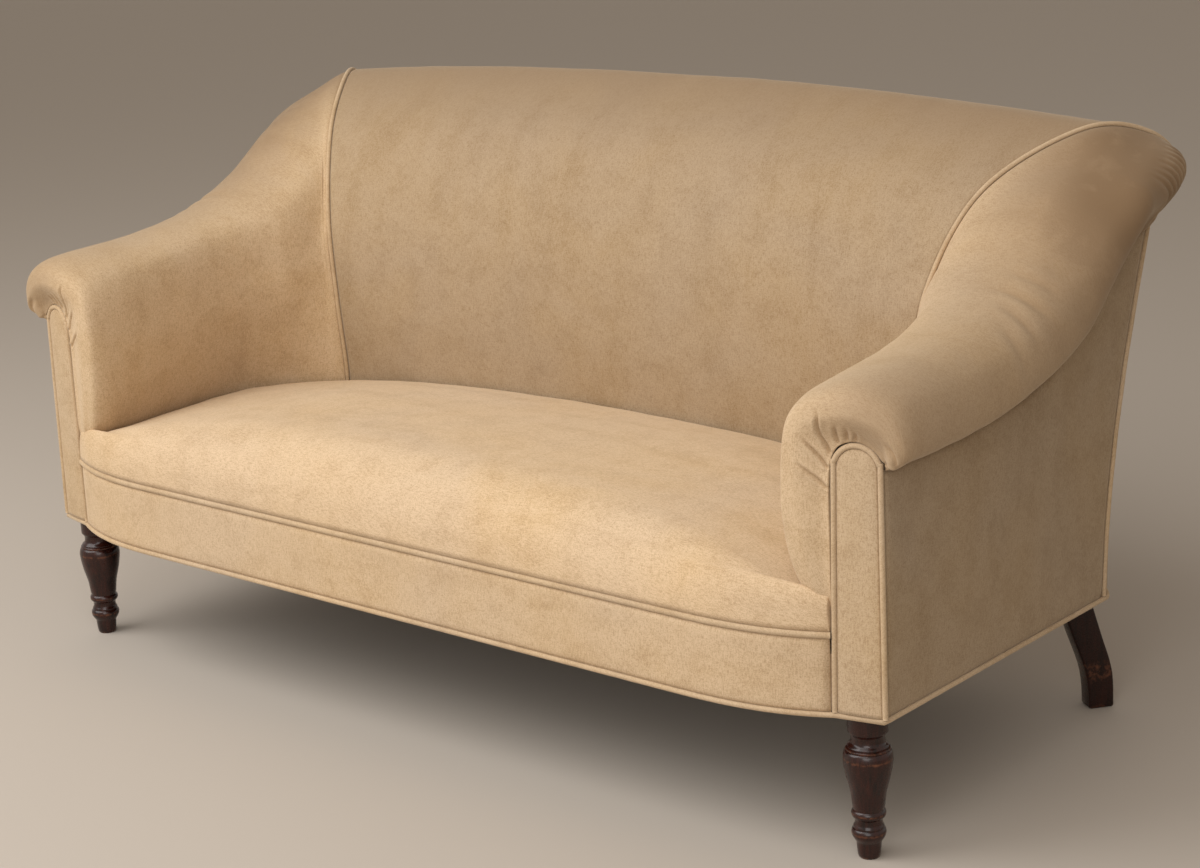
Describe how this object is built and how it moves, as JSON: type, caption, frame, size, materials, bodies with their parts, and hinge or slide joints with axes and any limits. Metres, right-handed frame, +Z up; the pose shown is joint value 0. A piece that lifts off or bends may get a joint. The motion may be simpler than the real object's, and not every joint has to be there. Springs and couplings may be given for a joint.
{
  "type": "upholstered settee",
  "caption": "Upholstered settee with rolled scroll arms, a rolled back, a tight sprung seat, turned front legs and swept back legs.",
  "frame": {"origin": "centre of the footprint of the whole settee, on the floor", "axes": "+X along the width, to the right of a person who stands in front and looks at it; +Y from the front to the back; +Z up"},
  "size_m": [1.6008, 0.7666, 0.831],
  "materials": {
    "upholstery": "matt pile",
    "piping": "matt pile",
    "stuffing": "matt",
    "hessian": "matt",
    "dust_cloth": "matt",
    "leg_wood": "gloss polish",
    "frame_wood": "raw",
    "steel": "plain"
  },
  "bodies": {
    "root": {"seat_cover": "upholstery", "seat_stuffing": "stuffing", "inside_back_cover": "upholstery", "back_stuffing": "stuffing", "inside_arm_cover_left": "upholstery", "inside_arm_cover_right": "upholstery", "arm_stuffing_left": "stuffing", "arm_stuffing_right": "stuffing", "outside_arm_cover_left": "upholstery", "outside_arm_cover_right": "upholstery", "outside_back_cover": "upholstery", "front_border": "upholstery", "arm_facing_left": "upholstery", "arm_facing_right": "upholstery", "dust_cover": "dust_cloth", "seat_welt": "piping", "bottom_welt": "piping", "facing_welt_left": "piping", "facing_welt_right": "piping", "arm_back_piping_left": "piping", "arm_back_piping_right": "piping", "rear_edge_welt_left": "piping", "rear_edge_welt_right": "piping", "front_rail": "frame_wood", "side_rail_left": "frame_wood", "side_rail_right": "frame_wood", "back_rail": "frame_wood", "front_post_left": "frame_wood", "front_post_right": "frame_wood", "back_post_left": "frame_wood", "back_post_right": "frame_wood", "arm_board_left": "frame_wood", "arm_board_right": "frame_wood", "back_top_board": "frame_wood", "back_uprights": "frame_wood", "arm_tacking_rail_left": "frame_wood", "arm_tacking_rail_right": "frame_wood", "back_tacking_rail": "frame_wood", "corner_blocks": "frame_wood", "corner_block_screws": "steel", "seat_webbing_long": "hessian", "seat_webbing_cross": "hessian", "seat_springs": "steel", "seat_hessian": "hessian", "back_webbing": "hessian", "back_springs": "steel", "back_hessian": "hessian", "front_leg_left": "leg_wood", "front_leg_right": "leg_wood", "back_leg_left": "leg_wood", "back_leg_right": "leg_wood"}
  },
  "joints": []
}
